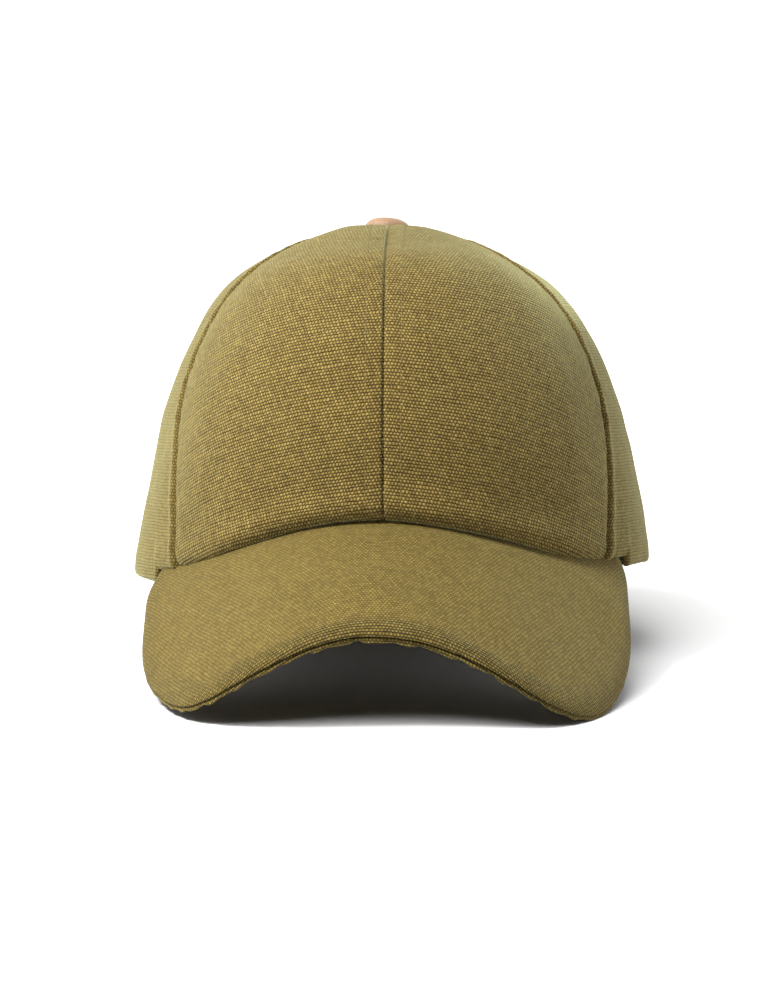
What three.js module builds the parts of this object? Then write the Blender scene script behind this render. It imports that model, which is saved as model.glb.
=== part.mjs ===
// Six-panel cap, millimetres, +Z up, front towards -Y, resting on its peak's two
// tips and on the back of its rim. Left and right are as seen from the front.
import * as THREE from "three";

// ---------- driving dimensions (mm, degrees) ----------
const CLOTH = 2.0; // crown wall: canvas, its backing and seam allowance
const PEAK_COVER = 2.4; // peak's upper cover with most of its board
const PEAK_UNDER = 1.5; // peak's lower cover
const GAP = 0.3; // between neighbouring pieces
const JOINT_GAP = 0.7; // between the peak and the wall that stands on it, both faceted
const CROWN_TILT = 13.0; // how far the rim plane leans back from the floor
const CROWN_LIFT = 21.2; // rim plane's height on the crown's own axis
const CROWN_TOP = 114.6; // rim plane to the top, on the crown's axis
const TIP_RADIUS = 4.6; // where the six gores end round the button's post
const CENTRE_X = -0.62; // shifts that put the origin under the middle of the cap
const CENTRE_Y = 24.64;

// Crown radius from the middle of the rim plane, by angle of elevation above
// that plane. Between the four directions a row is an ellipse.
//                 elev  front  back  left   right
const CROWN_ROWS = [
  { elev: -14, front: 81.5, back: 97.0, left: 84.6, right: 84.6 },
  { elev: 0, front: 93.5, back: 100.0, left: 83.8, right: 85.0 },
  { elev: 12, front: 101.7, back: 101.3, left: 83.4, right: 85.7 },
  { elev: 24, front: 112.7, back: 104.3, left: 85.8, right: 88.5 },
  { elev: 36, front: 122.7, back: 108.1, left: 92.1, right: 94.2 },
  { elev: 48, front: 126.5, back: 111.8, left: 100.5, right: 101.8 },
  { elev: 60, front: 121.1, back: 114.2, left: 110.2, right: 109.4 },
  { elev: 75, front: 117.6, back: 115.0, left: 113.8, right: 112.3 },
  { elev: 90, front: 114.6, back: 114.6, left: 114.6, right: 114.6 },
];

// Seams: plan angle from the front, by elevation. Negative is the left side.
const SEAM_ROWS = [
  { elev: 0, left_front: -51.5, front: -1.3, right_front: 50.8, left_back: -117.0, right_back: 117.0, back: 180 },
  { elev: 18, left_front: -53.5, front: -1.3, right_front: 52.6, left_back: -117.6, right_back: 117.6, back: 180 },
  { elev: 36, left_front: -56.2, front: -1.2, right_front: 53.9, left_back: -118.2, right_back: 118.2, back: 180 },
  { elev: 50, left_front: -54.2, front: -1.2, right_front: 51.3, left_back: -118.7, right_back: 118.7, back: 180 },
  { elev: 64, left_front: -48.0, front: -1.1, right_front: 43.0, left_back: -119.1, right_back: 119.1, back: 180 },
  { elev: 78, left_front: -47.5, front: -1.0, right_front: 44.0, left_back: -119.6, right_back: 119.6, back: 180 },
  { elev: 90, left_front: -49.0, front: -1.0, right_front: 47.0, left_back: -120.0, right_back: 120.0, back: 180 },
];
const VALLEY = { depth: 0.9, width: 2.4 }; // the dip along every seam
const RIDGE = { height: 1.3, width: 1.9, from_seam: 3.2 }; // rolled allowance beside the two front side seams
const FULLNESS = 0.7; // how far the crown draws in from a gore's middle to its seams

// Rim height above the floor behind the peak, by plan angle.
const RIM_ROWS = [
  { angle: 63.5, left: 26.9, right: 30.6 },
  { angle: 70, left: 26.4, right: 30.0 },
  { angle: 80, left: 25.2, right: 28.5 },
  { angle: 90, left: 23.3, right: 26.8 },
  { angle: 100, left: 20.6, right: 23.5 },
  { angle: 110, left: 16.6, right: 19.0 },
  { angle: 120, left: 11.6, right: 13.2 },
  { angle: 135, left: 5.0, right: 5.7 },
  { angle: 145, left: 1.4, right: 1.6 },
  { angle: 153, left: 0.0, right: 0.0 },
  { angle: 166, left: 0.0, right: 0.0 },
  { angle: 180, left: 0.0, right: 0.0 },
];

// Peak: edge in plan, and a surface that slopes forward and bends down to both sides.
const PEAK = {
  half_width: 76.1,
  widest_y: -73.5,
  forward: 77.4, // from the widest line to the front edge
  square_x: 3.94, // powers of the edge curve
  square_y: 2.04,
  shift_x: -1.26,
  height: 51.34, // on the middle line at reference_y
  reference_y: -100.0,
  slope: 0.3183,
  hollow: -0.0014, // how the middle line curves
  drop_left: 48.3, // how far the sides hang at 75 mm out
  drop_right: 41.3,
  drop_power: 2.02,
  drop_soft: 0.02, // rounds the bend over the middle
  drop_growth: -0.366, // the bend deepens towards the front
  lean: -0.0337, // sideways
  twist: 0.0683,
  joint_angle: 60.8, // where its ends meet the crown, plan angle
  tuck: 5.0, // how far it reaches in below the crown's wall
  corner_y: -56.0, // from here back its side edges turn in below the wall
  side_y: -37.5, // where they end
  corner_left: 7.4, // how far they turn in
  corner_right: 4.6,
  corner_power: 3.0,
  round: 1.4, // rolled lip
};

const BUTTON = {
  radius: 7.6,
  height: 4.6,
  post_radius: 2.2,
  disc_radius: 6.0,
  disc_height: 1.0,
  clearance: 1.0, // above the crown, because it leans
  clearance_below: 1.4,
  lean_x: -1.0,
  roll: 4.0,
};

// Mesh density.
const GORE_COLUMNS = [
  0, 0.018, 0.036, 0.06, 0.1, 0.19, 0.34, 0.5, 0.66, 0.81, 0.9, 0.94, 0.964,
  0.982, 1,
];
const GORE_ROWS = 14;
const PEAK_COLUMNS = 36;
const PEAK_ROWS = [0, 0.2, 0.4, 0.6, 0.8, 0.93, 0.975, 1];
const TURN_STEPS = 32;

// ---------- helpers ----------
const rad = Math.PI / 180;
const lerp = (a, b, t) => a + (b - a) * t;

// Smooth curve through a table: column `key` against column `by`.
function table(rows, by, key, x) {
  const n = rows.length;
  const slope = (i) => {
    const d = (j) =>
      (rows[j + 1][key] - rows[j][key]) / (rows[j + 1][by] - rows[j][by]);
    const h = (j) => rows[j + 1][by] - rows[j][by];
    if (i === 0) return d(0);
    if (i === n - 1) return d(n - 2);
    return (h(i) * d(i - 1) + h(i - 1) * d(i)) / (h(i - 1) + h(i));
  };
  const v = Math.min(Math.max(x, rows[0][by]), rows[n - 1][by]);
  let i = 0;
  while (i < n - 2 && v > rows[i + 1][by]) i++;
  const h = rows[i + 1][by] - rows[i][by];
  const t = (v - rows[i][by]) / h;
  const a = 2 * t ** 3 - 3 * t ** 2 + 1;
  const b = t ** 3 - 2 * t ** 2 + t;
  const c = -2 * t ** 3 + 3 * t ** 2;
  const d = t ** 3 - t ** 2;
  return (
    a * rows[i][key] + b * h * slope(i) + c * rows[i + 1][key] + d * h * slope(i + 1)
  );
}

// ---------- crown surface ----------
const seamAngle = (name, elev) => table(SEAM_ROWS, "elev", name, elev);

function plainRadius(angle, elev) {
  const c = Math.cos(angle * rad);
  const s = Math.sin(angle * rad);
  const a = table(CROWN_ROWS, "elev", c > 0 ? "front" : "back", elev);
  const b = table(CROWN_ROWS, "elev", s > 0 ? "right" : "left", elev);
  return 1 / Math.sqrt((c / a) ** 2 + (s / b) ** 2);
}

// Outer surface with the dip at the seams, the rolled ridges and the gores' fullness.
function outerRadius(gore, across, angle, elev) {
  const base = plainRadius(angle, elev);
  const reach = base * Math.cos(elev * rad);
  const span = seamAngle(gore.to, elev) - seamAngle(gore.from, elev);
  const width = (span < 0 ? span + 360 : span) * rad * reach;
  const near = Math.min(across, 1 - across) * width;
  const fade = Math.min(1, reach / 30);
  const edge = across < 0.5 ? gore.from : gore.to;
  let r = base - FULLNESS * fade * (1 - Math.sin(Math.PI * across) ** 0.8);
  r -= VALLEY.depth * fade * Math.exp(-((near / VALLEY.width) ** 2));
  if (gore.side && edge.endsWith("_front"))
    r +=
      RIDGE.height *
      fade *
      Math.exp(-(((near - RIDGE.from_seam) / RIDGE.width) ** 2));
  return r;
}

// From the crown's own frame to the frame in which the cap rests.
function rest(x, y, z) {
  const t = CROWN_TILT * rad;
  return new THREE.Vector3(
    x,
    y * Math.cos(t) + z * Math.sin(t),
    -y * Math.sin(t) + z * Math.cos(t) + CROWN_LIFT,
  );
}
function crownPoint(radius, angle, elev) {
  const c = Math.cos(elev * rad);
  return rest(
    radius * c * Math.sin(angle * rad),
    -radius * c * Math.cos(angle * rad),
    radius * Math.sin(elev * rad),
  );
}

// Angle between the wall's normal and the radius, to hold the wall's thickness.
function wallFactor(angle, elev) {
  const d = 1.5;
  const p = crownPoint(plainRadius(angle, elev), angle, elev);
  const across = crownPoint(plainRadius(angle + d, elev), angle + d, elev).sub(p);
  const up = crownPoint(plainRadius(angle, elev + d), angle, elev + d).sub(p);
  const out = p.clone().sub(rest(0, 0, 0)).normalize();
  const normal = across.cross(up).normalize();
  return 1 / Math.max(Math.abs(normal.dot(out)), 0.5);
}

// ---------- peak surface ----------
function peakHeight(x, y) {
  const u = x - PEAK.shift_x;
  const v = y - PEAK.reference_y;
  const drop = u > 0 ? PEAK.drop_right : PEAK.drop_left;
  const half = PEAK.drop_power / 2;
  const bend =
    ((u / 75) ** 2 + PEAK.drop_soft) ** half - PEAK.drop_soft ** half;
  return (
    PEAK.height +
    PEAK.slope * v +
    PEAK.hollow * v * v +
    PEAK.lean * u -
    drop * (1 + (PEAK.drop_growth * v) / 75) * bend +
    (PEAK.twist * u * v) / 75
  );
}

// Height of the rim above the floor, round the crown.
function rimHeight(angle, x, y) {
  const a = Math.abs(angle);
  const side = angle > 0 ? "right" : "left";
  const onPeak = peakHeight(x, y) + JOINT_GAP;
  if (a <= PEAK.joint_angle) return onPeak;
  if (a >= RIM_ROWS[0].angle)
    return Math.max(0, table(RIM_ROWS, "angle", side, a));
  const t = (a - PEAK.joint_angle) / (RIM_ROWS[0].angle - PEAK.joint_angle);
  return lerp(onPeak, RIM_ROWS[0][side], t * t * (3 - 2 * t));
}

// ---------- solids ----------
// A closed sheet between two grids of points, [column][row], outer side first.
function sheet(outer, inner) {
  const m = outer.length;
  const n = outer[0].length;
  const positions = [];
  for (const grid of [outer, inner])
    for (const column of grid) for (const p of column) positions.push(p.x, p.y, p.z);
  const at = (side, i, j) => side * m * n + i * n + j;
  const index = [];
  const quad = (a, b, c, d) => index.push(a, b, c, a, c, d);
  for (let i = 0; i < m - 1; i++)
    for (let j = 0; j < n - 1; j++) {
      quad(at(0, i, j), at(0, i + 1, j), at(0, i + 1, j + 1), at(0, i, j + 1));
      quad(at(1, i, j), at(1, i, j + 1), at(1, i + 1, j + 1), at(1, i + 1, j));
    }
  for (let i = 0; i < m - 1; i++) {
    quad(at(0, i, 0), at(1, i, 0), at(1, i + 1, 0), at(0, i + 1, 0));
    quad(at(0, i, n - 1), at(0, i + 1, n - 1), at(1, i + 1, n - 1), at(1, i, n - 1));
  }
  for (let j = 0; j < n - 1; j++) {
    quad(at(0, 0, j), at(0, 0, j + 1), at(1, 0, j + 1), at(1, 0, j));
    quad(at(0, m - 1, j), at(1, m - 1, j), at(1, m - 1, j + 1), at(0, m - 1, j + 1));
  }
  const geometry = new THREE.BufferGeometry();
  geometry.setAttribute("position", new THREE.Float32BufferAttribute(positions, 3));
  geometry.setIndex(index);
  geometry.computeVertexNormals();
  return geometry;
}

// One gore of the crown, from its rim to its tip beside the button's post.
function gore(spec) {
  const columns = [...GORE_COLUMNS, ...spec.more].sort((a, b) => a - b);
  const surface = (depth) =>
    columns.map((across) => {
      const place = (elev) => {
        const from = seamAngle(spec.from, elev);
        let to = seamAngle(spec.to, elev);
        if (to < from) to += 360;
        const plain = lerp(from, to, across);
        const reach = plainRadius(plain, elev) * Math.cos(elev * rad);
        const trim = (GAP / 2 / reach / rad) * (1 - 2 * across);
        const angle = plain + trim;
        const turned = angle > 180 ? angle - 360 : angle;
        const r = outerRadius(spec, across, turned, elev) - depth * wallFactor(turned, elev);
        return { point: crownPoint(r, turned, elev), angle: turned };
      };
      // the rim, by halving
      let low = -13;
      let high = 40;
      for (let k = 0; k < 30; k++) {
        const mid = (low + high) / 2;
        const { point, angle } = place(mid);
        if (point.z > rimHeight(angle, point.x, point.y)) high = mid;
        else low = mid;
      }
      const rim = (low + high) / 2;
      const top = 90 - TIP_RADIUS / CROWN_TOP / rad;
      const column = [];
      for (let j = 0; j <= GORE_ROWS; j++)
        column.push(place(lerp(rim, top, j / GORE_ROWS)).point);
      return column;
    });
  return sheet(surface(0), surface(CLOTH));
}

// Outer edge of the peak in plan, from its left end to its right end at even
// steps along the edge.
function peakEdge(inset) {
  const half = PEAK.half_width - inset;
  const reach = PEAK.forward - inset;
  const side = [];
  const fine = 400;
  for (let k = 0; k <= fine; k++) {
    const turn = (k / fine) * 90 * rad;
    side.push({
      x: half * Math.sin(turn) ** (2 / PEAK.square_x),
      y: PEAK.widest_y - reach * Math.cos(turn) ** (2 / PEAK.square_y),
    });
  }
  for (let k = 0; k <= 30; k++) {
    const t = k / 30;
    side.push({ x: half, y: lerp(PEAK.corner_y, PEAK.side_y, t), turn: t ** PEAK.corner_power });
  }
  const ends = (p, way, corner) => ({ x: way * (p.x - corner * (p.turn || 0)), y: p.y });
  const line = [
    ...side.map((p) => ends(p, -1, PEAK.corner_left)).reverse(),
    ...side.slice(1).map((p) => ends(p, 1, PEAK.corner_right)),
  ];
  const along = [0];
  for (let k = 1; k < line.length; k++)
    along.push(
      along[k - 1] + Math.hypot(line[k].x - line[k - 1].x, line[k].y - line[k - 1].y),
    );
  const edge = [];
  let k = 0;
  for (let i = 0; i <= PEAK_COLUMNS; i++) {
    const want = (i / PEAK_COLUMNS) * along[along.length - 1];
    while (k < line.length - 2 && along[k + 1] < want) k++;
    const t = (want - along[k]) / (along[k + 1] - along[k]);
    edge.push({
      x: lerp(line[k].x, line[k + 1].x, t) + PEAK.shift_x,
      y: lerp(line[k].y, line[k + 1].y, t),
    });
  }
  return edge;
}

// Inner edge of the peak in plan: the crown's rim, moved in below the wall.
function peakRoot(s) {
  const angle = s * PEAK.joint_angle;
  let elev = 10;
  let p;
  for (let k = 0; k < 25; k++) {
    p = crownPoint(plainRadius(angle, elev), angle, elev);
    elev -= (p.z - peakHeight(p.x, p.y)) / 1.6;
  }
  const k = 1 - (CLOTH + PEAK.tuck) / Math.hypot(p.x, p.y);
  return { x: p.x * k, y: p.y * k };
}

// A cover of the peak between two depths below its top surface.
function cover(top, bottom, inset, roundTop) {
  const surface = (depth, isTop) => {
    const grid = [];
    const line = peakEdge(inset);
    for (let i = 0; i <= PEAK_COLUMNS; i++) {
      const root = peakRoot((i / PEAK_COLUMNS) * 2 - 1);
      const edge = line[i];
      const column = PEAK_ROWS.map((t) => {
        const x = lerp(root.x, edge.x, t);
        const y = lerp(root.y, edge.y, t);
        let z = peakHeight(x, y) - depth;
        if (isTop && roundTop && t === 1) z -= PEAK.round * 0.8;
        return new THREE.Vector3(x, y, Math.max(z, isTop ? CLOTH * 0.3 : 0));
      });
      grid.push(column);
    }
    return grid;
  };
  // columns run left to right and rows outwards, so the top side faces down: swap the two
  return sheet(surface(bottom, false), surface(top, true));
}

// Button: a dome outside, a post through the tips, a plain disc inside.
function button() {
  const b = BUTTON;
  const crownTop = CROWN_TOP;
  const base = crownTop + b.clearance;
  const disc = crownTop - CLOTH - b.clearance_below;
  const profile = [
    [0, disc - b.disc_height],
    [b.disc_radius, disc - b.disc_height],
    [b.disc_radius, disc],
    [b.post_radius, disc],
    [b.post_radius, base],
    [b.radius * 0.96, base],
  ];
  const steps = 7;
  for (let i = 0; i < steps; i++) {
    const a = (i / steps) * 90 * rad;
    profile.push([
      b.radius * Math.cos(a) ** 0.72,
      base + 0.7 + (b.height - 0.7) * Math.sin(a) ** 0.95,
    ]);
  }
  profile.push([0, base + b.height]);
  const geometry = new THREE.LatheGeometry(
    profile.map(([r, h]) => new THREE.Vector2(r, h)),
    TURN_STEPS,
  );
  geometry.rotateX(90 * rad); // its axis from Y to Z
  geometry.translate(0, 0, -crownTop);
  geometry.rotateY(b.roll * rad);
  geometry.translate(b.lean_x, 0, crownTop);
  geometry.rotateX(-CROWN_TILT * rad);
  geometry.translate(0, 0, CROWN_LIFT);
  return geometry;
}

// ---------- assembly ----------
const canvas = new THREE.MeshStandardMaterial({
  color: 0x8b7747,
  roughness: 0.95,
  metalness: 0,
});
const leather = new THREE.MeshStandardMaterial({
  color: 0xcf9d6f,
  roughness: 0.6,
  metalness: 0,
});

// `more` are extra columns where the rim steps down past the end of the peak
const GORES = {
  front_left_panel: { from: "left_front", to: "front", side: false, more: [] },
  front_right_panel: { from: "front", to: "right_front", side: false, more: [] },
  side_left_panel: { from: "left_back", to: "left_front", side: true, more: [0.822, 0.845, 0.868] },
  side_right_panel: { from: "right_front", to: "right_back", side: true, more: [0.145, 0.167, 0.189] },
  back_left_panel: { from: "back", to: "left_back", side: false, more: [] },
  back_right_panel: { from: "right_back", to: "back", side: false, more: [] },
};

const assembly = new THREE.Group();
assembly.position.set(CENTRE_X, CENTRE_Y, 0);
function add(name, geometry, material) {
  const mesh = new THREE.Mesh(geometry, material);
  mesh.name = name;
  assembly.add(mesh);
}

for (const [name, spec] of Object.entries(GORES)) {
  const turned = { ...spec };
  add(name, gore(turned), canvas);
}
const slopeFactor = Math.hypot(1, PEAK.slope);
const coverDepth = PEAK_COVER * slopeFactor;
const underTop = (PEAK_COVER + GAP) * slopeFactor;
const underDepth = (PEAK_COVER + GAP + PEAK_UNDER) * slopeFactor;
add("peak_top", cover(0, coverDepth, 0, true), canvas);
add("peak_under", cover(underTop, underDepth, 0.6, false), canvas);
add("top_button", button(), leather);

const cap = new THREE.Group();
cap.add(assembly);
export default cap;
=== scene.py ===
import math

import bpy
import numpy as np
from mathutils import Matrix, Vector


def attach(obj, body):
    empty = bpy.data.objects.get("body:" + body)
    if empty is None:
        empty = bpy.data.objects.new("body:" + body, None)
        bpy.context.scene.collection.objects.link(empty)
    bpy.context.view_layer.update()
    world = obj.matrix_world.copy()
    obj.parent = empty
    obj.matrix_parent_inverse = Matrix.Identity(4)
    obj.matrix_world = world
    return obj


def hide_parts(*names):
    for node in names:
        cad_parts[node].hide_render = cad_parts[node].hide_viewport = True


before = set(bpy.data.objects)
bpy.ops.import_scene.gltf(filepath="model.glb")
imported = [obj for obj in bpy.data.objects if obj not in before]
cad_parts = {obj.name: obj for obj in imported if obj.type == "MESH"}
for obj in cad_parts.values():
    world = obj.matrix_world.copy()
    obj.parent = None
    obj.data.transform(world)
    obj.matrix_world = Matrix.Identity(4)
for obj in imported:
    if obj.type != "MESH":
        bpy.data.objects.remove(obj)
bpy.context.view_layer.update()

# ---------------------------------------------------------------- sizes (mm, degrees), as in the frame
CLOTH = 2.0
CROWN_TILT = 13.0
CROWN_LIFT = 21.2
CROWN_TOP = 114.6
TIP_RADIUS = 4.6
CENTRE = np.array([-0.62, 24.64, 0.0])

#            elev  front   back   left   right
CROWN_ROWS = np.array([
    [-14, 81.5, 97.0, 84.6, 84.6],
    [0, 93.5, 100.0, 83.8, 85.0],
    [12, 101.7, 101.3, 83.4, 85.7],
    [24, 112.7, 104.3, 85.8, 88.5],
    [36, 122.7, 108.1, 92.1, 94.2],
    [48, 126.5, 111.8, 100.5, 101.8],
    [60, 121.1, 114.2, 110.2, 109.4],
    [75, 117.6, 115.0, 113.8, 112.3],
    [90, 114.6, 114.6, 114.6, 114.6],
])
FRONT, BACK, LEFT, RIGHT = 1, 2, 3, 4
# plan angles of the seams, by elevation
SEAM_NAMES = ("left_front", "front", "right_front", "left_back", "right_back", "back")
SEAM_ROWS = np.array([
    [0, -51.5, -1.3, 50.8, -117.0, 117.0, 180],
    [18, -53.5, -1.3, 52.6, -117.6, 117.6, 180],
    [36, -56.2, -1.2, 53.9, -118.2, 118.2, 180],
    [50, -54.2, -1.2, 51.3, -118.7, 118.7, 180],
    [64, -48.0, -1.1, 43.0, -119.1, 119.1, 180],
    [78, -47.5, -1.0, 44.0, -119.6, 119.6, 180],
    [90, -49.0, -1.0, 47.0, -120.0, 120.0, 180],
])
#               angle  left  right
RIM_ROWS = np.array([
    [63.5, 26.9, 32.2],
    [70, 26.4, 31.4],
    [80, 25.2, 29.6],
    [90, 23.3, 27.8],
    [100, 20.6, 25.4],
    [110, 16.6, 22.2],
    [120, 11.6, 17.4],
    [135, 5.0, 7.4],
    [145, 1.4, 1.6],
    [153, 0.0, 0.0],
    [166, 0.0, 0.0],
    [180, 0.0, 0.0],
])
PEAK = dict(
    half_width=76.1, widest_y=-73.5, forward=77.4, square_x=3.94, square_y=2.04,
    shift_x=-1.26, height=51.34, reference_y=-100.0, slope=0.3183, hollow=-0.0014,
    drop_left=48.3, drop_right=41.3, drop_power=2.02, drop_soft=0.02,
    drop_growth=-0.366, lean=-0.0337, twist=0.0683, joint_angle=59.7,
    corner_y=-56.0, side_y=-37.5, corner_left=7.8, corner_right=6.2, corner_power=3.0,
)
FULLNESS = 0.7  # how far the crown draws in from a gore's middle to its seams
JOINT_GAP = 0.25  # between the crown's rolled rim and the peak
GORES = {
    "front_left_panel": ("left_front", "front"),
    "front_right_panel": ("front", "right_front"),
    "side_left_panel": ("left_back", "left_front"),
    "side_right_panel": ("right_front", "right_back"),
    "back_left_panel": ("back", "left_back"),
    "back_right_panel": ("right_back", "back"),
}
RAD = math.pi / 180


# ---------------------------------------------------------------- shape functions
def table(rows, column, x):
    xp, fp = rows[:, 0], rows[:, column]
    h = np.diff(xp)
    d = np.diff(fp) / h
    m = np.empty(len(xp))
    m[0], m[-1] = d[0], d[-1]
    m[1:-1] = (h[1:] * d[:-1] + h[:-1] * d[1:]) / (h[:-1] + h[1:])
    x = np.clip(x, xp[0], xp[-1])
    i = np.clip(np.searchsorted(xp, x, side="left") - 1, 0, len(xp) - 2)
    t = (x - xp[i]) / h[i]
    return (
        (2 * t**3 - 3 * t**2 + 1) * fp[i]
        + (t**3 - 2 * t**2 + t) * h[i] * m[i]
        + (-2 * t**3 + 3 * t**2) * fp[i + 1]
        + (t**3 - t**2) * h[i] * m[i + 1]
    )


def seam_angle(name, elev):
    return table(SEAM_ROWS, 1 + SEAM_NAMES.index(name), elev)


def plain_radius(angle, elev):
    c, s = np.cos(angle * RAD), np.sin(angle * RAD)
    a = np.where(c > 0, table(CROWN_ROWS, FRONT, elev), table(CROWN_ROWS, BACK, elev))
    b = np.where(s > 0, table(CROWN_ROWS, RIGHT, elev), table(CROWN_ROWS, LEFT, elev))
    return 1 / np.sqrt((c / a) ** 2 + (s / b) ** 2)


def to_rest(p):
    t = CROWN_TILT * RAD
    x, y, z = p[..., 0], p[..., 1], p[..., 2]
    return np.stack([x, y * math.cos(t) + z * math.sin(t), -y * math.sin(t) + z * math.cos(t) + CROWN_LIFT], -1)


def crown_point(radius, angle, elev):
    c = np.cos(elev * RAD)
    return to_rest(np.stack([radius * c * np.sin(angle * RAD), -radius * c * np.cos(angle * RAD), radius * np.sin(elev * RAD)], -1))


def base_point(angle, elev):
    return crown_point(plain_radius(angle, elev), angle, elev)


def base_normal(angle, elev):
    d = 1.0
    e = np.minimum(elev, 89.0)
    u = base_point(angle + d, e) - base_point(angle - d, e)
    v = base_point(angle, e + d * 0.5) - base_point(angle, e - d)
    n = np.cross(u, v)
    n /= np.linalg.norm(n, axis=-1, keepdims=True) + 1e-12
    # at the very top the parallels shrink to nothing, so lean on the crown's axis there
    axis = to_rest(np.array([0.0, 0.0, 1.0])) - to_rest(np.zeros(3))
    w = np.clip((elev - 84) / 5, 0, 1)[..., None]
    n = n * (1 - w) + axis * w
    return n / np.linalg.norm(n, axis=-1, keepdims=True)


def peak_height(x, y):
    p = PEAK
    u, v = x - p["shift_x"], y - p["reference_y"]
    drop = np.where(u > 0, p["drop_right"], p["drop_left"])
    bend = ((u / 75) ** 2 + p["drop_soft"]) ** (p["drop_power"] / 2) - p["drop_soft"] ** (p["drop_power"] / 2)
    return (
        p["height"] + p["slope"] * v + p["hollow"] * v * v + p["lean"] * u
        - drop * (1 + p["drop_growth"] * v / 75) * bend + p["twist"] * u * v / 75
    )


def rim_height(angle, x, y):
    a = np.abs(angle)
    on_peak = peak_height(x, y) + JOINT_GAP * (1.3 - 0.9 * np.clip((a - 28) / 26, 0, 1))
    side = np.where(angle > 0, table(RIM_ROWS, 2, a), table(RIM_ROWS, 1, a))
    side = np.maximum(side, 0.02)
    start, stop = np.where(angle > 0, 60.2, 60.5), np.where(angle > 0, 61.3, 62.2)
    t = np.clip((a - start) / (stop - start), 0, 1)
    t = t * t * (3 - 2 * t)
    return on_peak * (1 - t) + side * t


# smooth noise from a fixed seed, in three dimensions
class Waves:
    def __init__(self, seed, count, low, high):
        r = np.random.default_rng(seed)
        k = r.normal(size=(count, 3))
        k /= np.linalg.norm(k, axis=1, keepdims=True)
        self.k = k * (2 * math.pi / r.uniform(low, high, (count, 1)))
        self.p = r.uniform(0, 2 * math.pi, count)
        self.n = math.sqrt(2 / count)

    def __call__(self, p):
        out = np.zeros(p.shape[:-1])
        for k, ph in zip(self.k, self.p):
            out += np.sin(p @ k + ph)
        return out * self.n


LOOSE = Waves(11, 26, 26, 70)  # the cloth's broad unevenness
CREASE = Waves(5, 30, 9, 22)  # small ripples
THIN = Waves(8, 24, 3.2, 7.5)  # puckers at the seams


# ---------------------------------------------------------------- mesh helpers
def make_object(name, points, faces, uv=None, smooth=True):
    """points in mm in the shape functions' frame."""
    mesh = bpy.data.meshes.new(name)
    co = (np.asarray(points) + CENTRE) * 0.001
    mesh.from_pydata(co.tolist(), [], faces)
    mesh.update()
    if uv is not None:
        layer = mesh.uv_layers.new(name="weave")
        loops = np.empty(len(mesh.loops), dtype=np.int32)
        mesh.loops.foreach_get("vertex_index", loops)
        layer.data.foreach_set("uv", np.asarray(uv)[loops].astype(np.float32).ravel())
    mesh.polygons.foreach_set("use_smooth", [smooth] * len(mesh.polygons))
    obj = bpy.data.objects.new(name, mesh)
    bpy.context.scene.collection.objects.link(obj)
    return obj


def ring_sheet(rings):
    """Closes a strip of point rings (each ring is a closed loop of the cross-section) into faces."""
    m, n = rings
    faces = []
    for i in range(m - 1):
        for j in range(n):
            k = (j + 1) % n
            faces.append((i * n + j, (i + 1) * n + j, (i + 1) * n + k, i * n + k))
    return faces


def grid_faces(m, n, start=0, flip=False):
    i, j = np.meshgrid(np.arange(m - 1), np.arange(n - 1), indexing="ij")
    a = (start + i * n + j).ravel()
    b, c, d = a + n, a + n + 1, a + 1
    q = np.stack([a, b, c, d], 1)
    if flip:
        q = q[:, ::-1]
    return q.tolist()


# ---------------------------------------------------------------- crown gores
def edge_spacing(width_rim, mid, more=()):
    near = [0, 0.15, 0.3, 0.45, 0.62, 0.82, 1.05, 1.3, 1.6, 2.0, 2.4, 2.9, 3.4, 3.9, 4.4, 4.9, 5.5, 6.1, 6.9, 8.0, 9.5, 11.5, 14.0]
    left = np.array(near) / width_rim
    centre = np.linspace(left[-1], 1 - left[-1], mid + 2)[1:-1]
    w = np.concatenate([left, centre, 1 - left[::-1], np.array(more, dtype=float)])
    return np.unique(np.round(w, 5))


def seam_profile(kind, d):
    """How far the outer surface stands from the plain one at d mm from a seam."""
    g = lambda at, width: np.exp(-(((d - at) / width) ** 2))
    if kind == "plain":  # the middle seam, pressed open and held by a tape inside
        return -0.90 * g(0, 0.45) - 0.16 * g(0, 2.6) + 0.07 * g(3.4, 1.4) - 0.13 * g(5.5, 0.55)
    if kind == "ridge":  # the side gore's rolled allowance, which then folds off to the side
        return -1.05 * g(0, 0.36) + 0.55 * np.where(d < 1.35, g(1.35, 0.85), g(1.35, 2.0))
    if kind == "beside":  # the front gore beside that ridge
        return -1.10 * g(0, 0.55) - 0.30 * g(0, 2.4)
    return -1.2 * g(0, 0.5) - 0.3 * g(0, 2.6) - 0.12 * g(5.0, 0.6) - 0.12 * g(-5.0, 0.6)


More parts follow.
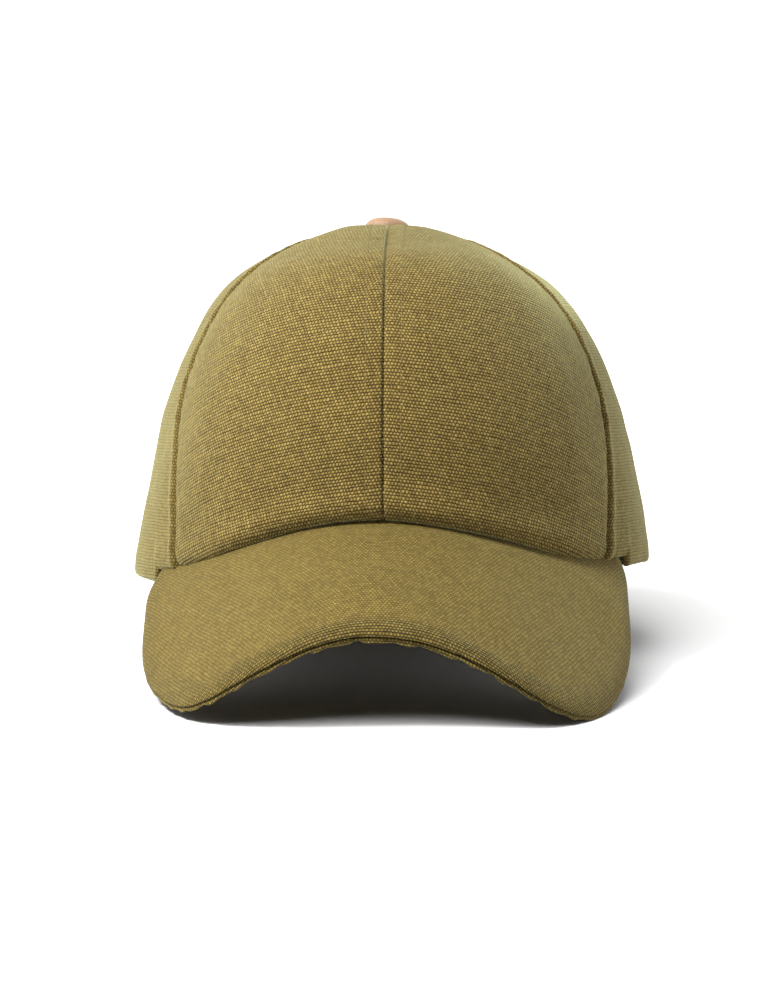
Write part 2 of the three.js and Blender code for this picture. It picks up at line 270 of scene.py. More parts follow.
def gore(name, columns=28, rows=132):
    frm, to = GORES[name]
    side = name.startswith("side")
    front = name.startswith("front")
    more = ()
    if name == "side_left_panel":
        more = np.linspace(0.80, 0.885, 15)
    if name == "side_right_panel":
        more = np.linspace(0.13, 0.21, 15)
    w = edge_spacing(88.0, columns, more)
    nw = len(w)
    W = w[:, None]

    def angle_at(elev, depth=0.0):
        a = seam_angle(frm, elev)
        b = seam_angle(to, elev)
        b = np.where(b < a, b + 360, b)
        ang = a + (b - a) * W
        reach = plain_radius(ang, elev) * np.cos(elev * RAD)
        # the gores part a little outside and meet inside
        open_from = 0.0 if depth else (0.15 if frm.endswith("_front") else 0.06)
        open_to = 0.0 if depth else (0.15 if to.endswith("_front") else 0.06)
        ang = ang + (open_from * (1 - W) ** 4 - open_to * W**4) / np.maximum(reach, 1) / RAD
        return np.where(ang > 180, ang - 360, ang), (b - a) * RAD * reach

    def kind(edge):
        if edge.endswith("_front"):
            return "ridge" if side else "beside"
        return "plain" if edge == "front" else "back"

    def surface(elev, depth):
        ang, width = angle_at(elev, depth)
        p = base_point(ang, elev)
        n = base_normal(ang, elev)
        reach = plain_radius(ang, elev) * np.cos(elev * RAD)
        full = -FULLNESS * (1 - np.sin(math.pi * W) ** 0.8) * np.clip((reach - 8) / 40, 0, 1)
        fade = np.clip((reach - 3) / 24, 0, 1)
        d0 = W * width
        d1 = (1 - W) * width
        near = np.minimum(d0, d1)
        quiet = 1 - np.exp(-((near / 10) ** 2))
        if depth:
            # the inner side keeps clear of the seams' dips
            return p + n * (0.6 * full + 0.18 * fade * LOOSE(p) * quiet - depth)[..., None], ang
        slim = np.clip((reach - 8) / 45, 0.12, 1)  # the middle seam lies flatter near the button
        depth_of = lambda edge: slim if edge in ("front", "back") else 1.0
        lift = full + fade * (depth_of(frm) * seam_profile(kind(frm), d0) + depth_of(to) * seam_profile(kind(to), d1))
        pucker = np.exp(-((near / 5.5) ** 2)) * (1 - np.exp(-((near / 0.6) ** 2)))
        lift = lift + fade * 0.10 * THIN(p) * pucker
        lift = lift + fade * (0.22 * LOOSE(p) + 0.06 * CREASE(p)) * quiet
        return p + n * lift[..., None], ang

    def rim_elev(depth):
        low = np.full((nw, 1), -13.0)
        high = np.full((nw, 1), 45.0)
        for _ in range(34):
            mid = (low + high) / 2
            p, ang = surface(mid, depth)
            above = p[..., 2] > rim_height(ang, p[..., 0], p[..., 1])
            high = np.where(above, mid, high)
            low = np.where(above, low, mid)
        return (low + high) / 2

    top = 90 - TIP_RADIUS / CROWN_TOP / RAD
    # finer rows at the rim, for its roll
    t = np.concatenate([[0, 0.0018, 0.004, 0.007, 0.0105, 0.015, 0.020, 0.026, 0.032], np.linspace(0.039, 1, rows - 8)])
    nt = len(t)
    grids = []
    for depth in (0.0, CLOTH):
        e0 = rim_elev(depth)
        elev = e0 + (top - e0) * t[None, :]
        p, ang = surface(elev, depth)
        if depth == 0.0:
            outer_elev, outer_ang = elev, ang
        grids.append(p)
    outer, inner = grids
    # the rim is turned in: the outer side rolls towards the inner one
    arc = np.concatenate([np.zeros((nw, 1)), np.cumsum(np.linalg.norm(np.diff(outer, axis=1), axis=-1), 1)], 1)
    n = base_normal(outer_ang, outer_elev)
    far = np.clip((np.abs(outer_ang[:, :1]) - 28) / 26, 0, 1)
    joint = np.clip((62.5 - np.abs(outer_ang[:, :1])) / 2.5, 0, 1) * (1 - 0.75 * far * far * (3 - 2 * far))
    roll = np.clip(1 - arc / (2.2 + 2.6 * joint), 0, 1)
    amount = 0.75 + 1.8 * joint
    outer = outer - n * (amount * (1 - np.sqrt(np.clip(1 - roll**2, 0, 1))))[..., None]
    # the crown stands a little proud of the peak just above the joint
    over = np.exp(-(((arc - 5.0) / 4.2) ** 2)) * (0.15 + 0.95 * joint)
    outer = outer + n * over[..., None]

    # flattened cloth coordinates, mm
    plain = outer if side else base_point(outer_ang, outer_elev)
    step = np.linalg.norm(np.diff(plain, axis=0), axis=-1)
    across = np.concatenate([np.zeros((1, nt)), np.cumsum(step, 0)], 0)
    u = across - 0.5 * across[-1:, :]
    e_ref = np.linspace(-14, 90, 240)
    v = np.empty_like(u)
    for i in range(nw):
        a = np.interp(e_ref, outer_elev[i], outer_ang[i]) if abs(outer_ang[i, -1] - outer_ang[i, 0]) < 90 else np.full(240, outer_ang[i, 0])
        line = base_point(a, e_ref)
        s = np.concatenate([[0], np.cumsum(np.linalg.norm(np.diff(line, axis=0), axis=-1))])
        s -= np.interp(0, e_ref, s)
        v[i] = np.interp(outer_elev[i], e_ref, s)
    if front:
        right = to == "right_front"
        out = across if right else across[-1:, :] - across
        a0, a1 = math.tan(GRAIN_SEAM * RAD), math.tan(GRAIN_OUT * RAD)
        V = v + a0 * out + 0.5 * (a1 - a0) / 85 * out**2
        lean = (LEAN_RIGHT if right else LEAN_LEFT) * v + 0.5 * LEAN_GROWTH * np.maximum(v - 50, 0) ** 2
        U = (1 if right else -1) * (out + lean)
    elif side:
        back = across if frm == "right_front" else across[-1:, :] - across
        V = v - GRAIN_SIDE * back
        U = (1 if frm == "right_front" else -1) * (back + GRAIN_SIDE * v)
    else:
        U, V = u, v
    pts = np.concatenate([outer.reshape(-1, 3), inner.reshape(-1, 3)])
    uv1 = np.stack([U, V], -1).reshape(-1, 2) * UV_SCALE
    uv = np.concatenate([uv1, uv1])
    k = nw * nt
    faces = grid_faces(nw, nt) + grid_faces(nw, nt, start=k, flip=True)
    at = lambda s, i, j: s * k + i * nt + j
    for i in range(nw - 1):
        faces.append((at(0, i, 0), at(1, i, 0), at(1, i + 1, 0), at(0, i + 1, 0)))
        faces.append((at(0, i, nt - 1), at(0, i + 1, nt - 1), at(1, i + 1, nt - 1), at(1, i, nt - 1)))
    for j in range(nt - 1):
        faces.append((at(0, 0, j), at(0, 0, j + 1), at(1, 0, j + 1), at(1, 0, j)))
        faces.append((at(0, nw - 1, j), at(1, nw - 1, j), at(1, nw - 1, j + 1), at(0, nw - 1, j + 1)))
    obj = make_object(name + "_cloth", pts, faces, uv)
    return obj, dict(outer=outer, normal=n, across=across)


UV_SCALE = 0.01
GRAIN_SEAM = 5.5
GRAIN_OUT = 15.0
GRAIN_SIDE = 0.11
LEAN_LEFT = 0.117
LEAN_RIGHT = 0.06
LEAN_GROWTH = 0.0033


def stitch_row(name, info, from_seam, near_start):
    """Short stitches that hold the tape inside, along a line beside the middle seam."""
    outer, normal, across = info["outer"], info["normal"], info["across"]
    nt = outer.shape[1]
    line, up = [], []
    for j in range(nt):
        d = across[:, j] if near_start else across[-1, j] - across[:, j]
        order = np.argsort(d)
        if d.max() < 2.2 * from_seam:
            break
        line.append([np.interp(from_seam, d[order], outer[order, j, c]) for c in range(3)])
        up.append([np.interp(from_seam, d[order], normal[order, j, c]) for c in range(3)])
    line, up = np.array(line), np.array(up)
    s = np.concatenate([[0], np.cumsum(np.linalg.norm(np.diff(line, axis=0), axis=1))])
    pts, faces = [], []
    r = np.random.default_rng(3)
    start = 3.0
    sides, rings, radius = 7, 7, 0.17
    while start + 2.6 < s[-1]:
        long = 2.25 + r.uniform(-0.15, 0.15)
        q = np.linspace(0, 1, rings)
        at = start + long * q
        c = np.stack([np.interp(at, s, line[:, k]) for k in range(3)], 1)
        n = np.stack([np.interp(at, s, up[:, k]) for k in range(3)], 1)
        n /= np.linalg.norm(n, axis=1, keepdims=True)
        t = np.gradient(c, axis=0)
        t /= np.linalg.norm(t, axis=1, keepdims=True)
        b = np.cross(t, n)
        c = c + n * (0.22 * np.sin(math.pi * q) - 0.17)[:, None]
        k0 = len(pts)
        for i in range(rings):
            for m in range(sides):
                a = 2 * math.pi * m / sides
                pts.append(c[i] + radius * (math.cos(a) * b[i] + math.sin(a) * n[i]))
        for i in range(rings - 1):
            for m in range(sides):
                m2 = (m + 1) % sides
                faces.append((k0 + i * sides + m, k0 + i * sides + m2, k0 + (i + 1) * sides + m2, k0 + (i + 1) * sides + m))
        faces.append(tuple(k0 + m for m in range(sides))[::-1])
        faces.append(tuple(k0 + (rings - 1) * sides + m for m in range(sides)))
        start += long + 0.75
    return make_object(name, np.array(pts), faces)


# ---------------------------------------------------------------- peak
def peak_line(inset, count):
    """Edge of the peak in plan, even steps from its left end to its right end."""
    p = PEAK
    half, reach = p["half_width"] - inset, p["forward"] - inset
    turn = np.linspace(0, 90, 1600) * RAD
    x = half * np.sin(turn) ** (2 / p["square_x"])
    y = p["widest_y"] - reach * np.cos(turn) ** (2 / p["square_y"])
    t = np.linspace(0, 1, 60)
    x = np.append(x, np.full(60, half))
    y = np.append(y, p["corner_y"] + (p["side_y"] - p["corner_y"]) * t)
    turned = np.append(np.zeros(1600), t ** p["corner_power"])
    x = np.concatenate([(-x + p["corner_left"] * turned)[::-1], (x - p["corner_right"] * turned)[1:]])
    y = np.concatenate([y[::-1], y[1:]])
    s = np.concatenate([[0], np.cumsum(np.hypot(np.diff(x), np.diff(y)))])
    want = np.linspace(0, s[-1], count)
    x, y = np.interp(want, s, x), np.interp(want, s, y)
    # the two front corners are worn rounder than the board
    worn = np.where(x < 0, 2.4, 1.4) * np.exp(-(((np.abs(x) - 68) / 20) ** 2) - ((y + 114) / 22) ** 2)
    return x - np.sign(x) * 0.6 * worn + p["shift_x"], y + 0.8 * worn, want


def peak_root(count, tuck):
    s = np.linspace(-1, 1, count)
    angle = s * PEAK["joint_angle"]
    elev = np.full(count, 10.0)
    for _ in range(40):
        q = base_point(angle, elev)
        elev = elev - (q[:, 2] - peak_height(q[:, 0], q[:, 1])) / 1.8
    k = 1 - (CLOTH + tuck) / np.hypot(q[:, 0], q[:, 1])
    return q[:, 0] * k, q[:, 1] * k


LIP = 3.6  # how far in from the edge the upper cover starts to roll down
LIP_DROP = 2.35  # the roll's height, straight down
GROOVE = 2.75  # where the two covers meet, straight down from the surface
PEAK_BOTTOM = 4.75  # the lower cover's under side


def peak_cover(name, lower, columns=420):
    """One cover: a closed loop of cross-section at each station across the peak."""
    ex, ey, along = peak_line(0.0, columns)
    rx, ry = peak_root(columns, 4.8)
    tx, ty = np.gradient(ex), np.gradient(ey)
    ln = np.hypot(tx, ty)
    ox, oy = ty / ln, -tx / ln
    flip = np.sign(np.median(ox * ex + oy * (ey + 60)))
    ox, oy = ox * flip, oy * flip
    inner_t = np.concatenate([np.linspace(0, 0.9, 40), np.linspace(0.92, 1.0, 9)])
    inset = LIP if not lower else 1.9
    fx, fy = ex - ox * inset, ey - oy * inset
    flat_x = rx[:, None] + (fx - rx)[:, None] * inner_t
    flat_y = ry[:, None] + (fy - ry)[:, None] * inner_t

    def skin(x, y):
        p = np.stack([x, y, peak_height(x, y)], -1)
        near = np.clip((y + 55) / 25, 0, 1)  # quiet where the crown stands on it
        tips = 0.9 * np.exp(-(((x + 67) / 18) ** 2) - ((y + 110) / 20) ** 2) + 0.6 * np.exp(-(((x - 64) / 18) ** 2) - ((y + 110) / 20) ** 2)
        return p[..., 2] + (0.16 * LOOSE(p) + 0.05 * CREASE(p)) * (1 - near) - tips

    def section(out, down):
        x = ex[:, None] + ox[:, None] * out
        y = ey[:, None] + oy[:, None] * out
        return np.stack([x, y, skin(x, y) - down], -1)

    base = np.stack([flat_x, flat_y, skin(flat_x, flat_y)], -1)
    # the upper cover dips a little where the crown's rim presses on it
    behind = np.hypot(flat_x - rx[:, None], flat_y - ry[:, None])
    press = 0.8 * np.clip(1.25 - np.abs(rx[:, None]) / 62, 0.25, 1)
    base[..., 2] -= press * np.exp(-(((behind - 6.0) / 3.0) ** 2))
    stations = len(ex)
    one = np.ones((stations, 1))
    beat = along + 1.9 * np.sin(along / 19.0) + 1.2 * np.sin(along / 8.3 + 1)
    waves = 0.6 * np.sin(2 * math.pi * beat / 8.6) + 0.3 * np.sin(2 * math.pi * beat / 5.1 + 0.8) + 0.25 * np.sin(2 * math.pi * beat / 17 + 2)
    middle = np.clip(1.15 - (np.abs(ex - PEAK["shift_x"]) / 74) ** 4, 0.3, 1)
    gather = (waves * middle)[:, None]
    down = lambda d: np.stack([np.zeros_like(d), np.zeros_like(d), d], -1)
    if not lower:
        a = np.linspace(0, 90, 14)[1:] * RAD
        out = np.concatenate([-LIP + LIP * np.sin(a), -0.12 - 1.5 * np.array([0.10, 0.35, 0.7, 1.0])])
        drop = np.concatenate([LIP_DROP * (1 - np.cos(a)), LIP_DROP + (GROOVE - LIP_DROP) * np.array([0.35, 0.7, 0.9, 1.0])])
        wobble = 1 + 0.035 * gather
        edge = section(out[None, :] * one, drop[None, :] * wobble)
        under = base[:, ::-1] - down(np.full(base.shape[:2], GROOVE))
        ring = np.concatenate([base, edge, under], 1)
    else:
        a = np.linspace(-75, 90, 14) * RAD
        bulge = (PEAK_BOTTOM - GROOVE) * (1 + 0.26 * gather)
        out = -1.5 + np.cos(a)[None, :] * (1.25 + 0.16 * gather)
        drop = GROOVE + 0.30 + (bulge - 0.25) * 0.5 * (1 + np.sin(a)[None, :])
        edge = section(out, drop)
        top = base - down(np.full(base.shape[:2], GROOVE + 0.05))
        top[:, -1, 2] -= 0.25
        # the gathers fade inwards
        dist = np.linalg.norm(base - base[:, -1:], axis=-1)
        depth = PEAK_BOTTOM + (bulge - (PEAK_BOTTOM - GROOVE)) * np.exp(-((dist / 7.0) ** 2))
        bottom = base[:, ::-1] - down(depth[:, ::-1])
        ring = np.concatenate([top, edge, bottom], 1)
    ring[..., 2] = np.maximum(ring[..., 2], 0.02)
    m, nr = ring.shape[:2]
    # cloth coordinates: x along the bend, y down the slope, and on over the rolled edge
    xs = np.linspace(-95, 95, 761)
    zz = peak_height(xs, np.full_like(xs, -110.0))
    bent = np.concatenate([[0], np.cumsum(np.hypot(np.diff(xs), np.diff(zz)))])
    bent -= np.interp(0, xs, bent)
    lay = lambda x, y: np.stack([np.interp(x, xs, bent), y * math.hypot(1, PEAK["slope"])], -1)
    flat = lay(base[..., 0], base[..., 1])
    nf = base.shape[1]
    way = lay(ex, ey) - lay(ex - ox, ey - oy)
    way /= np.linalg.norm(way, axis=1, keepdims=True)
    steps = np.linalg.norm(np.diff(ring, axis=1), axis=-1)
    run = np.concatenate([np.zeros((m, 1)), np.cumsum(steps, 1)], 1)
    run = run - run[:, nf - 1 : nf]
    ne = ring.shape[1] - 2 * nf
    edge_uv = flat[:, -1:] + way[:, None] * run[:, nf : nf + ne, None]
    turn_uv = edge_uv[:, -1:] + (flat[:, -1:] - flat[:, ::-1])
    uv = (np.concatenate([flat, edge_uv, turn_uv], 1) * UV_SCALE).reshape(-1, 2)
    faces = ring_sheet((m, nr))
    faces.append(tuple(range(nr)))
    faces.append(tuple((m - 1) * nr + j for j in range(nr))[::-1])
    # the cloth is stretched over the rolled edge, where its weave stands out in higher relief; the hollows between its
    # yarns also get a deeper painted shade there and on the under side, less towards the tips
    rolled = np.clip((run + 3.2) / 3.2, 0, 1)
    rolled[:, nf + ne :] = 1
    rolled = rolled * (1 - 0.7 * np.clip((np.abs(ex[:, None] - PEAK["shift_x"]) - 45) / 24, 0, 1))
    obj = make_object(name + "_cloth", ring.reshape(-1, 3), faces, uv)
    layer = obj.data.uv_layers.new(name="rolled")
    loops = np.empty(len(obj.data.loops), dtype=np.int32)
    obj.data.loops.foreach_get("vertex_index", loops)
    pair = np.stack([rolled.ravel(), np.zeros(rolled.size)], -1)
    layer.data.foreach_set("uv", pair[loops].astype(np.float32).ravel())
    return obj


# ---------------------------------------------------------------- materials
class Nodes:
    def __init__(self, name):
        self.mat = bpy.data.materials.new(name)
        self.mat.use_nodes = True
        self.tree = self.mat.node_tree
        self.tree.nodes.clear()
        self.out = self.tree.nodes.new("ShaderNodeOutputMaterial")

    def new(self, kind, **props):
        node = self.tree.nodes.new(kind)
        for k, v in props.items():
            setattr(node, k, v)
        return node

    def link(self, a, b):
        self.tree.links.new(a, b)

    def put(self, socket, value):
        if isinstance(value, bpy.types.NodeSocket):
            self.link(value, socket)
        else:
            socket.default_value = value

    def math(self, op, a, b=None, c=None, clamp=False):
        node = self.new("ShaderNodeMath", operation=op, use_clamp=clamp)
        for s, v in zip(node.inputs, (a, b, c)):
            if v is not None:
                self.put(s, v)
        return node.outputs[0]

    def mix(self, f, a, b):
        node = self.new("ShaderNodeMix", data_type="RGBA")
        self.put(node.inputs["Factor"], f)
        self.put(node.inputs[6], a)
        self.put(node.inputs[7], b)
        return node.outputs[2]

    def shade(self, f, a, b, kind="MULTIPLY"):
        node = self.new("ShaderNodeMix", data_type="RGBA", blend_type=kind)
        self.put(node.inputs["Factor"], f)
        self.put(node.inputs[6], a)
        self.put(node.inputs[7], b)
        return node.outputs[2]

    def noise(self, vector, scale, detail=2.0, rough=0.5, dims="3D"):
        node = self.new("ShaderNodeTexNoise", noise_dimensions=dims)
        self.put(node.inputs["Vector"], vector)
        node.inputs["Scale"].default_value = scale
        node.inputs["Detail"].default_value = detail
        node.inputs["Roughness"].default_value = rough
        return node.outputs["Fac"]

    def combine(self, x, y, z=0.0):
        node = self.new("ShaderNodeCombineXYZ")
        for s, v in zip(node.inputs, (x, y, z)):
            self.put(s, v)
        return node.outputs[0]

    def remap(self, v, a, b, c, d):
        node = self.new("ShaderNodeMapRange")
        self.put(node.inputs[0], v)
        for i, x in enumerate((a, b, c, d)):
            node.inputs[i + 1].default_value = x
        return node.outputs[0]


def rgb(r, g, b):
    f = lambda c: ((c / 255 + 0.055) / 1.055) ** 2.4 if c > 10 else c / 255 / 12.92
    return (f(r), f(g), f(b), 1.0)


def canvas_material(name, bead, weft, hollow_shade, hollow_shade_strength=0.84, relief=0.00023, sheen=0.44, speck=0.0, rolled_edge_shade=False):
    """Plain weave: rows of round warp beads 1.03 mm apart, half a step aside from row to row."""
    m = Nodes(name)
    uv = m.new("ShaderNodeUVMap", uv_map="weave").outputs[0]
    sep = m.new("ShaderNodeSeparateXYZ")
    m.link(uv, sep.inputs[0])
    obj = m.new("ShaderNodeTexCoord").outputs["Object"]
    k = 1 / UV_SCALE
    u = m.math("MULTIPLY", sep.outputs[0], k)
    v = m.math("MULTIPLY", sep.outputs[1], k)
    # threads wander a little
    n1 = m.noise(m.combine(m.math("MULTIPLY", u, 0.5), m.math("MULTIPLY", v, 0.12), 3.0), 1.0, 2.0)
    n2 = m.noise(m.combine(m.math("MULTIPLY", u, 0.10), m.math("MULTIPLY", v, 0.45), 9.0), 1.0, 2.0)
    b = m.math("DIVIDE", m.math("ADD", v, m.math("MULTIPLY_ADD", n2, 0.9, -0.45)), ROW_PITCH)
    j = m.math("FLOOR", b)
    dy = m.math("MULTIPLY", m.math("SUBTRACT", m.math("SUBTRACT", b, j), 0.5), ROW_PITCH)
    a = m.math("DIVIDE", m.math("ADD", u, m.math("MULTIPLY_ADD", n1, 0.9, -0.45)), 2 * WARP_PITCH)
    a = m.math("ADD", a, m.math("MULTIPLY", j, 0.5))
    i = m.math("FLOOR", a)
    dx = m.math("MULTIPLY", m.math("SUBTRACT", m.math("SUBTRACT", a, i), 0.5), 2 * WARP_PITCH)
    cell = m.new("ShaderNodeTexWhiteNoise", noise_dimensions="2D")
    m.put(cell.inputs["Vector"], m.combine(i, j, 0.0))
    chance = cell.outputs["Value"]
    size = m.math("MULTIPLY_ADD", chance, 0.30, 0.85)
    square = lambda x, r: m.math("POWER", m.math("ABSOLUTE", m.math("DIVIDE", x, r)), 2.0)
    ball = m.math("SUBTRACT", size, m.math("ADD", square(dx, 0.38), square(dy, 0.44)))
    beads = m.math("SQRT", m.math("MAXIMUM", ball, 0.0))
    arch = m.math("SQRT", m.math("MAXIMUM", m.math("SUBTRACT", 1.0, square(dy, 0.45)), 0.0))
    cross = m.math("MULTIPLY", arch, m.math("MULTIPLY_ADD", square(dx, WARP_PITCH), 0.26, 0.30))
    height = m.math("MAXIMUM", beads, cross)
    top = m.remap(m.math("SUBTRACT", beads, cross), -0.02, 0.22, 0.0, 1.0)
    # yarn by yarn variation
    wn = m.noise(m.combine(m.math("MULTIPLY", i, 7.31), m.math("MULTIPLY", v, 0.09), 0.0), 1.0, 2.0, dims="2D")
    fn = m.noise(m.combine(m.math("MULTIPLY", u, 0.09), m.math("MULTIPLY", j, 5.17), 0.0), 1.0, 2.0, dims="2D")
    bead_c = m.mix(m.remap(wn, 0.3, 0.7, 0.0, 1.0), bead[0], bead[1])
    weft_c = m.mix(m.remap(fn, 0.3, 0.7, 0.0, 1.0), weft[0], weft[1])
    col = m.mix(top, weft_c, bead_c)
    # painted shade: where the yarns lie low, between beads and between rows, the colour is pulled towards a dark shade
    # colour
    low = m.remap(height, 0.12, 0.62, 1.0, 0.0)
    # at the peak's rolled edge and under side this painted shade is darker and stronger
    if rolled_edge_shade:
        edge = m.new("ShaderNodeSeparateXYZ")
        m.link(m.new("ShaderNodeUVMap", uv_map="rolled").outputs[0], edge.inputs[0])
        edge = edge.outputs[0]
        col = m.mix(m.math("MULTIPLY", low, m.math("MULTIPLY_ADD", edge, 0.38, hollow_shade_strength)), col, m.mix(edge, hollow_shade, rolled_edge_shade))
        height = m.math("MULTIPLY", height, m.math("MULTIPLY_ADD", edge, 1.0, 1.0))
    else:
        col = m.mix(m.math("MULTIPLY", low, hollow_shade_strength), col, hollow_shade)
    light = m.math("MULTIPLY_ADD", chance, 0.30, 0.85)
    col = m.shade(1.0, col, m.combine(light, light, light))
    # broad unevenness of the dye, and a fine one of the fibres
    patch = m.math("MULTIPLY_ADD", m.noise(obj, 55.0, 3.0, 0.55), 0.20, 0.90)
    fine = m.math("MULTIPLY_ADD", m.noise(obj, 1900.0, 2.0, 0.6), 0.30 + speck, 0.85 - 0.5 * speck)
    tone = m.math("MULTIPLY", patch, fine)
    col = m.shade(1.0, col, m.combine(tone, tone, tone))
    bump = m.new("ShaderNodeBump")
    bump.inputs["Strength"].default_value = 1.0
    bump.inputs["Distance"].default_value = relief
    m.link(height, bump.inputs["Height"])
    bsdf = m.new("ShaderNodeBsdfPrincipled")
    m.link(col, bsdf.inputs["Base Color"])
    bsdf.inputs["Roughness"].default_value = 0.9
    bsdf.inputs["Specular IOR Level"].default_value = 0.15
    bsdf.inputs["Sheen Weight"].default_value = sheen
    bsdf.inputs["Sheen Roughness"].default_value = 0.35
    bsdf.inputs["Sheen Tint"].default_value = SHEEN_TINT
    m.link(bump.outputs["Normal"], bsdf.inputs["Normal"])
    m.link(bsdf.outputs[0], m.out.inputs["Surface"])
    return m.mat


def thread_material(name, light, dark):
    m = Nodes(name)
    obj = m.new("ShaderNodeTexCoord").outputs["Object"]
    n = m.noise(obj, 2600.0, 3.0, 0.6)
    bsdf = m.new("ShaderNodeBsdfPrincipled")
    m.link(m.mix(m.remap(n, 0.3, 0.7, 0.0, 1.0), dark, light), bsdf.inputs["Base Color"])
    bsdf.inputs["Roughness"].default_value = 0.75
    bump = m.new("ShaderNodeBump")
    bump.inputs["Distance"].default_value = 0.00006
    m.link(n, bump.inputs["Height"])
    m.link(bump.outputs["Normal"], bsdf.inputs["Normal"])
    m.link(bsdf.outputs[0], m.out.inputs["Surface"])
    return m.mat


def leather_material(name):
    m = Nodes(name)
    obj = m.new("ShaderNodeTexCoord").outputs["Object"]
    vor = m.new("ShaderNodeTexVoronoi", feature="DISTANCE_TO_EDGE")
    m.put(vor.inputs["Vector"], obj)
    vor.inputs["Scale"].default_value = 1500.0
    grain = m.remap(vor.outputs["Distance"], 0.0, 0.12, 0.0, 1.0)
    n = m.noise(obj, 260.0, 4.0, 0.6)
    col = m.mix(n, (0.175, 0.098, 0.046, 1.0), (0.215, 0.130, 0.066, 1.0))
    col = m.mix(m.math("MULTIPLY", m.math("SUBTRACT", 1.0, grain), 0.25), col, (0.12, 0.058, 0.026, 1.0))
    height = m.math("ADD", m.math("MULTIPLY", grain, 0.6), n)
    bump = m.new("ShaderNodeBump")
    bump.inputs["Strength"].default_value = 0.35
    bump.inputs["Distance"].default_value = 0.00012
    m.link(height, bump.inputs["Height"])
    bsdf = m.new("ShaderNodeBsdfPrincipled")
    m.link(col, bsdf.inputs["Base Color"])
    m.link(m.remap(n, 0.3, 0.7, 0.5, 0.62), bsdf.inputs["Roughness"])
    m.link(bump.outputs["Normal"], bsdf.inputs["Normal"])
    m.link(bsdf.outputs[0], m.out.inputs["Surface"])
    return m.mat


ROW_PITCH = 1.03
WARP_PITCH = 0.54
DYE = 0.328  # the cloth takes this share of the colours below


def dyed(r, g, b, share=1.0):
    c = rgb(r, g, b)
    return (c[0] * DYE * share, c[1] * DYE * share * 0.975, c[2] * DYE * share * 0.74, 1.0)


SHEEN_TINT = (0.57, 0.61, 0.31, 1.0)
BEAD = (dyed(194, 173, 112), dyed(180, 157, 98))
WEFT = (dyed(136, 108, 46), dyed(150, 122, 58))
# painted shade colour for the hollows between the yarns
HOLLOW_SHADE = dyed(62, 47, 18)
canvas = canvas_material("canvas_weave", BEAD, WEFT, HOLLOW_SHADE)
side_canvas = canvas_material(
    "side_canvas_weave",
    (dyed(186, 168, 110, 0.90), dyed(174, 154, 98, 0.90)),
    (dyed(138, 112, 52, 0.90), dyed(150, 124, 62, 0.90)),
    # painted shade in the hollows between the yarns, lighter and weaker on the side gores
    dyed(84, 66, 28, 0.90), hollow_shade_strength=0.55, relief=0.00016,
)
peak_canvas = canvas_material(
    "peak_canvas_weave",
    (dyed(180, 162, 97, 0.86), dyed(169, 149, 87, 0.86)),
    (dyed(142, 119, 58, 0.86), dyed(151, 127, 64, 0.86)),
    # painted shade in the hollows between the yarns, and a darker painted shade for them at the rolled edge and under
    # side
    dyed(94, 73, 30, 0.86), hollow_shade_strength=0.6, relief=0.00012, sheen=0.15, speck=0.3, rolled_edge_shade=dyed(54, 42, 17),
)
thread = thread_material("olive_thread", dyed(160, 138, 78), dyed(126, 102, 50))
leather = leather_material("tan_leather")

# ---------------------------------------------------------------- build
made = {}
for name in GORES:
    obj, info = gore(name)
    obj.data.materials.append(canvas if name.startswith("front") else side_canvas)
    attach(obj, "root")
    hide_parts(name)
    made[name] = info

for name, near_start in (("front_left_panel", False), ("front_right_panel", True)):
    obj = stitch_row(name + "_stitches", made[name], 5.5, near_start)
    obj.data.materials.append(thread)
    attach(obj, "root")

for name, lower in (("peak_top", False), ("peak_under", True)):
    obj = peak_cover(name, lower)
    obj.data.materials.append(peak_canvas)
    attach(obj, "root")
    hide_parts(name)

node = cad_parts["top_button"]
node.data.materials.clear()
node.data.materials.append(leather)
for s in node.material_slots:
    s.material = leather

# ---------------------------------------------------------------- stage, light, camera
def stage_floor():
    mesh = bpy.data.meshes.new("floor")
    s = 30.0
    mesh.from_pydata([(-s, -s, -0.0002), (s, -s, -0.0002), (s, s, -0.0002), (-s, s, -0.0002)], [], [(0, 1, 2, 3)])
    floor = bpy.data.objects.new("floor", mesh)
    bpy.context.scene.collection.objects.link(floor)
    m = Nodes("floor_paint")
    place = m.new("ShaderNodeTexCoord").outputs["Object"]
    away = m.new("ShaderNodeVectorMath", operation="LENGTH")
    m.link(place, away.inputs[0])
    # the floor's grey rises from 0.41 near the cap to 0.96 beyond 0.8 m; the darker paint near the cap deepens the
    # shade under and beside it (painted shade)
    shade = m.remap(away.outputs["Value"], 0.28, 0.8, 0.41, 0.96)
    bsdf = m.new("ShaderNodeBsdfDiffuse")
    m.link(m.combine(shade, shade, shade), bsdf.inputs["Color"])
    m.link(bsdf.outputs[0], m.out.inputs["Surface"])
    mesh.materials.append(m.mat)
    return floor


floor = stage_floor()

scene = bpy.context.scene
scene.view_settings.view_transform = "Standard"
scene.view_settings.look = "None"
scene.view_settings.exposure = 0.0
scene.view_settings.gamma = 1.0

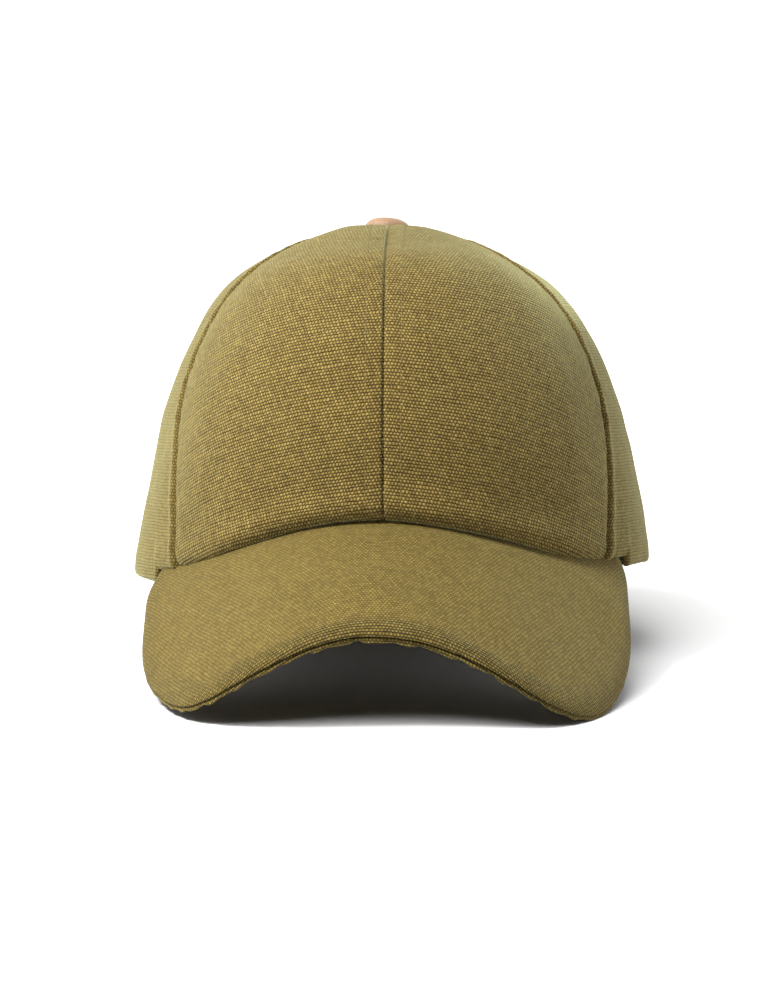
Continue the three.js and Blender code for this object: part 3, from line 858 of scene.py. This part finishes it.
# a white room that is bright behind and at the sides and dim where the camera stands
world = bpy.data.worlds.new("studio")
scene.world = world
world.use_nodes = True
wt = world.node_tree
coord = wt.nodes.new("ShaderNodeTexCoord")
split = wt.nodes.new("ShaderNodeSeparateXYZ")
wt.links.new(coord.outputs["Generated"], split.inputs[0])
sideways = wt.nodes.new("ShaderNodeMath")
sideways.operation = "ABSOLUTE"
wt.links.new(split.outputs[0], sideways.inputs[0])
place = wt.nodes.new("ShaderNodeMath")
place.operation = "MULTIPLY_ADD"
wt.links.new(sideways.outputs[0], place.inputs[0])
place.inputs[1].default_value = 0.6
wt.links.new(split.outputs[1], place.inputs[2])
fall = wt.nodes.new("ShaderNodeMapRange")
fall.interpolation_type = "SMOOTHSTEP"
wt.links.new(place.outputs[0], fall.inputs[0])
for i, x in enumerate((-0.35, 0.45, 0.03, 1.87)):
    fall.inputs[i + 1].default_value = x
wt.links.new(fall.outputs[0], wt.nodes["Background"].inputs[1])
wt.nodes["Background"].inputs[0].default_value = (1.0, 1.0, 1.0, 1.0)


def area(name, place, aim, size, power, colour=(1, 1, 1)):
    light = bpy.data.lights.new(name, "AREA")
    light.shape = "DISK"
    light.size = size
    light.energy = power
    light.color = colour
    obj = bpy.data.objects.new(name, light)
    obj.location = place
    obj.rotation_euler = (Vector(aim) - Vector(place)).to_track_quat("-Z", "Y").to_euler()
    scene.collection.objects.link(obj)
    return obj


area("key", (-1.005, -0.757, 1.624), (0, 0, 0.07), 0.55, 108.0, (1.0, 0.985, 0.95))
# a wide soft lamp overhead that whitens the floor only
overhead = area("overhead", (-0.35, -0.87, 1.4), (0.0, 0.0, 0), 1.3, 78.0)
floor_only = bpy.data.collections.new("floor_only")
floor_only.objects.link(floor)
overhead.light_linking.receiver_collection = floor_only

# camera: 1.4 m away, 8.14 degrees above the horizon
DIST, ELEV, SCALE = 1.4, 8.14, 3050.0  # SCALE is pixels for each metre at the target
aim = Vector(((-1.53 + CENTRE[0]) * 0.001, CENTRE[1] * 0.001, (49.2 - 1.3) * 0.001))
cam_data = bpy.data.cameras.new("camera")
cam = bpy.data.objects.new("camera", cam_data)
scene.collection.objects.link(cam)
e = ELEV * RAD
cam.location = aim + Vector((0, -DIST * math.cos(e), DIST * math.sin(e)))
cam.rotation_euler = (aim - cam.location).to_track_quat("-Z", "Y").to_euler()
cam_data.sensor_fit = "VERTICAL"
cam_data.sensor_height = 36.0
cam_data.lens = SCALE * DIST / 1000 * 36.0
cam_data.clip_start = 0.05
cam_data.clip_end = 100
scene.camera = cam
